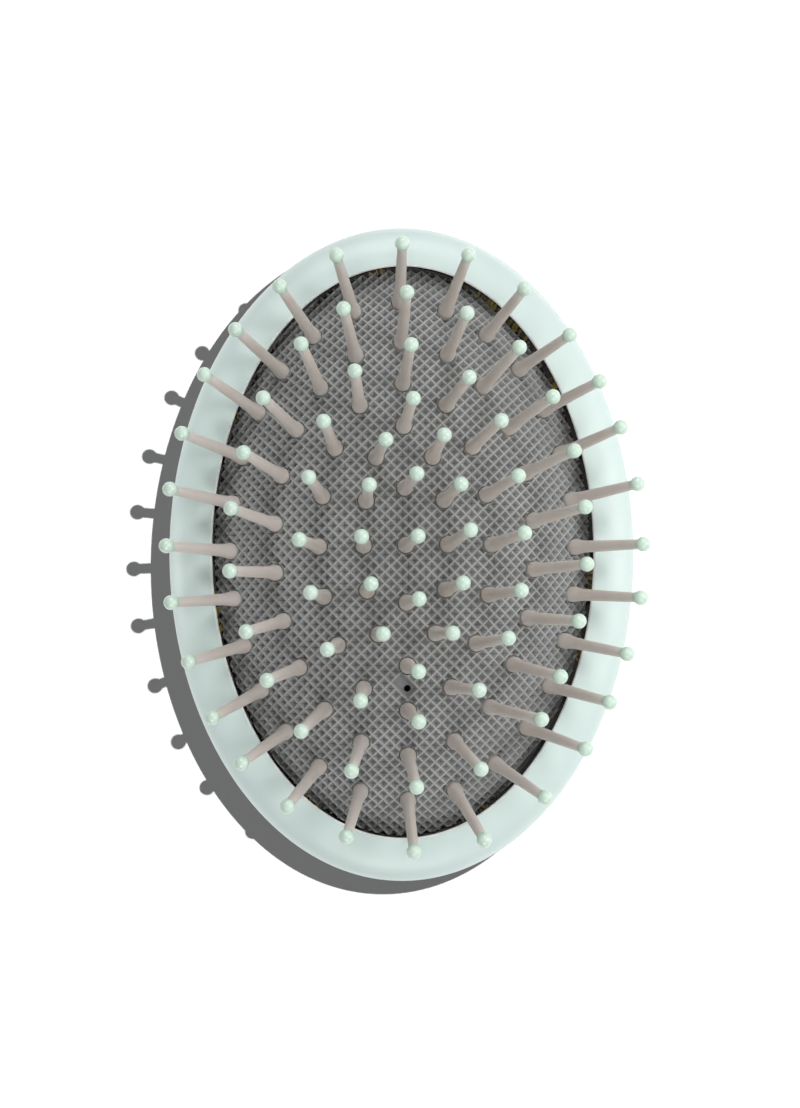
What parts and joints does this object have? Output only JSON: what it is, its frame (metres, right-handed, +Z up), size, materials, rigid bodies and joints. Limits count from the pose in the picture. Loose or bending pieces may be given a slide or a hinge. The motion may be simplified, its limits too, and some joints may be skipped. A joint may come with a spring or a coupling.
{
  "type": "scalp massage brush",
  "caption": "Palm-held oval scalp massage brush with a domed air cushion of grey rubber, ball-tipped pins in ovals and a pale mint housing.",
  "frame": {"origin": "middle of the flat that the back shell rests on", "axes": "+Z up through the pins, +Y along the long side of the oval, +X to the right"},
  "size_m": [0.0822, 0.1136, 0.0507],
  "materials": {
    "housing_mint": "satin mint-white moulding",
    "inner_plastic": "unpolished natural moulding",
    "amber_adhesive": "set yellow-brown glue line",
    "grey_rubber": "matt, waffle-textured face",
    "mauve_nylon": "satin nylon with mint ball tips"
  },
  "bodies": {
    "housing": {"back_shell": "housing_mint", "front_frame": "housing_mint", "backing_plate": "inner_plastic", "adhesive_bead": "amber_adhesive", "cushion": "grey_rubber"},
    "centre_pins": {"pin_strip_centre": "mauve_nylon"},
    "inner_pins": {"pin_strip_inner_top_left": "mauve_nylon", "pin_strip_inner_bottom_left": "mauve_nylon", "pin_strip_inner_bottom_right": "mauve_nylon", "pin_strip_inner_top_right": "mauve_nylon"},
    "third_pins": {"pin_strip_third_top_left": "mauve_nylon", "pin_strip_third_bottom_left": "mauve_nylon", "pin_strip_third_bottom_right": "mauve_nylon", "pin_strip_third_top_right": "mauve_nylon"},
    "second_pins": {"pin_strip_second_top_left": "mauve_nylon", "pin_strip_second_bottom_left": "mauve_nylon", "pin_strip_second_bottom_right": "mauve_nylon", "pin_strip_second_top_right": "mauve_nylon"},
    "outer_pins": {"pin_strip_outer_top_left": "mauve_nylon", "pin_strip_outer_bottom_left": "mauve_nylon", "pin_strip_outer_bottom_right": "mauve_nylon", "pin_strip_outer_top_right": "mauve_nylon"}
  },
  "joints": [
    {"name": "centre_press", "type": "slide", "parent": "housing", "child": "centre_pins", "axis": [0, 0, -1], "range_m": [0, 0.005], "stiffness_N_per_m": 100, "deforming": ["cushion"]},
    {"name": "inner_press", "type": "slide", "parent": "housing", "child": "inner_pins", "axis": [0, 0, -1], "range_m": [0, 0.0048], "stiffness_N_per_m": 300, "deforming": ["cushion"]},
    {"name": "third_press", "type": "slide", "parent": "housing", "child": "third_pins", "axis": [0, 0, -1], "range_m": [0, 0.0043], "stiffness_N_per_m": 500, "deforming": ["cushion"]},
    {"name": "second_press", "type": "slide", "parent": "housing", "child": "second_pins", "axis": [0, 0, -1], "range_m": [0, 0.0032], "stiffness_N_per_m": 900, "deforming": ["cushion"]},
    {"name": "outer_press", "type": "slide", "parent": "housing", "child": "outer_pins", "axis": [0, 0, -1], "range_m": [0, 0.0013], "stiffness_N_per_m": 2000, "deforming": ["cushion"]}
  ],
  "couplings": [
    {"joint": "inner_press", "follows": "centre_press", "ratio": 0.96},
    {"joint": "third_press", "follows": "centre_press", "ratio": 0.86},
    {"joint": "second_press", "follows": "centre_press", "ratio": 0.64},
    {"joint": "outer_press", "follows": "centre_press", "ratio": 0.26}
  ]
}
